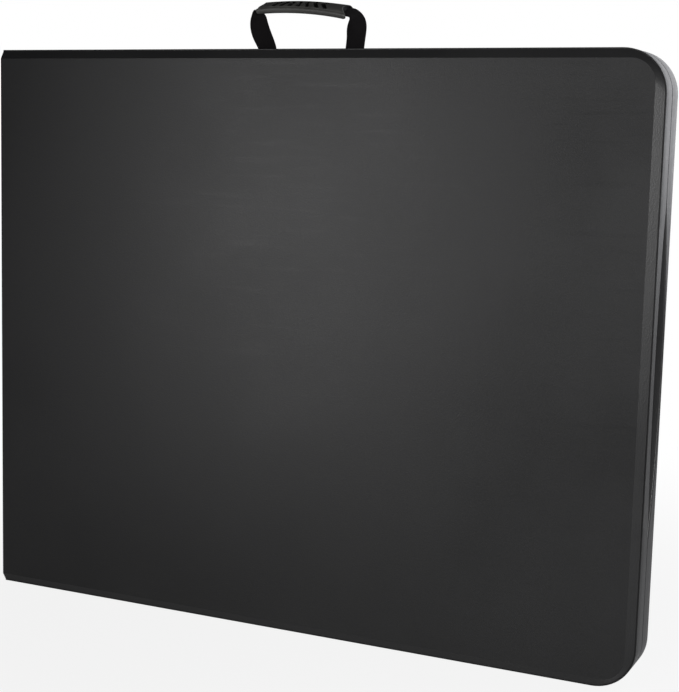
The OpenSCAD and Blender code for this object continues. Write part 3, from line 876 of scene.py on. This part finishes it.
# ---------------------------------------------------------------- materials
def webbing_cloth():
    """Woven polypropylene: fine crossed ribs with a little paler fuzz."""
    m = Mat("webbing_weave", (0.004, 0.0037, 0.004), 0.78, spec=0.05)
    weave = m.maths("MAXIMUM", m.ribs(420.0, 38), m.ribs(420.0, -38))
    fuzz = m.noise(1500.0, 2.0)
    tone = m.blend(weave, (0.0018, 0.0016, 0.0018), (0.0056, 0.0050, 0.0054))
    pale = m.maths("MULTIPLY", m.remap(fuzz, 0.5, 0.8), 0.5)
    m.colour(m.blend(pale, tone, (0.012, 0.0112, 0.0118)))
    m.rough(m.remap(weave, 0, 1, 0.85, 0.68))
    m.bump(weave, 0.55, 0.0004)
    m.bump(fuzz, 0.25, 0.0002)
    m.shader.inputs["Sheen Weight"].default_value = 0.012
    m.shader.inputs["Sheen Roughness"].default_value = 0.45
    return m.mat


def grip_plastic(name, dark, light, gloss):
    """Softer moulded grip plastic: satin, fine-grained and faintly clouded."""
    m = Mat(name, light, 0.46, spec=gloss)
    cloud = m.remap(m.noise(70.0, 3.0), 0.35, 0.7)
    m.colour(m.blend(cloud, dark, light))
    m.rough(m.remap(cloud, 0, 1, 0.40, 0.52))
    m.bump(m.pebbles(1500.0), 0.18, 0.0003)
    return m.mat


def powder_coat():
    """Grey powder coat: orange-peel skin with rubbed brighter patches."""
    m = Mat("powder_coat", (0.20, 0.205, 0.215), 0.38)
    peel = m.noise(420.0, 2.0)
    wear = m.remap(m.noise(26.0, 6.0, rough=0.65), 0.62, 0.72)
    m.colour(m.blend(wear, (0.20, 0.205, 0.215), (0.30, 0.30, 0.305)))
    m.rough(m.remap(peel, 0.3, 0.7, 0.30, 0.44))
    m.bump(peel, 0.22, 0.0004)
    return m.mat


def zinc_plate():
    """Bright zinc plating with brushed grain and a little clouding."""
    m = Mat("zinc_plate", (0.62, 0.63, 0.64), 0.34, metal=1.0)
    grain = m.noise(900.0, 3.0, m.stretch((0.06, 1, 1)))
    cloud = m.remap(m.noise(90.0, 4.0), 0.35, 0.7)
    m.colour(m.blend(cloud, (0.52, 0.53, 0.55), (0.70, 0.70, 0.69)))
    m.rough(m.remap(grain, 0.3, 0.7, 0.26, 0.46))
    m.bump(grain, 0.12, 0.0002)
    return m.mat


def foot_plastic():
    """Black foot-cap plastic with a fine grain and paler scuffs."""
    m = Mat("foot_plastic", (0.018, 0.018, 0.018), 0.55, spec=0.4)
    scuff = m.remap(m.noise(120.0, 5.0, rough=0.7), 0.60, 0.75)
    m.colour(m.blend(scuff, (0.014, 0.014, 0.014), (0.05, 0.05, 0.049)))
    m.rough(m.remap(scuff, 0, 1, 0.50, 0.72))
    m.bump(m.noise(1300.0, 2.0), 0.3, 0.0003)
    return m.mat


def paint_frame():
    """Gives the CAD nodes that stay visible the material of their slot."""
    by_slot = {
        "frame_paint": powder_coat(),
        "zinc_steel": zinc_plate(),
        "foot_plastic": foot_plastic(),
    }
    for row in frame["record"]["subparts"]:
        mat = by_slot.get(row["material_slot"])
        node = frame["nodes"].get(row["node"])
        if mat and node:
            for slot in node.material_slots:
                slot.material = mat


# ---------------------------------------------------------------- assembly
make_camera()
make_world()
make_floor()
table_tops(moulded_plastic("moulded_plastic", (0.0075, 0.0075, 0.0078),
                           (0.0105, 0.0105, 0.0108), 0.42))
grip(grip_plastic("grip_moulding", (0.027, 0.0267, 0.0248), (0.040, 0.0395, 0.037), 0.42),
     # The second grip material is a near-black copy of the first: painted shade for the grooves
     # and the socket ends.
     grip_plastic("grip_painted_shade", (0.0025, 0.0025, 0.0024), (0.0045, 0.0044, 0.0042), 0.06))
webbing(webbing_cloth())
paint_frame()
area_light("front_strip", place=(-0.86, -1.74, 0.53), target=(0.22, 0, 0.53),
           size=(0.25, 1.0), power=1.02, spread=60)
area_light("side_front", place=(1.5, -2.1, 0.9), target=(0.45, 0, 0.75),
           size=(0.5, 0.5), power=9.6, spread=70)
bpy.context.scene.view_settings.view_transform = "Standard"
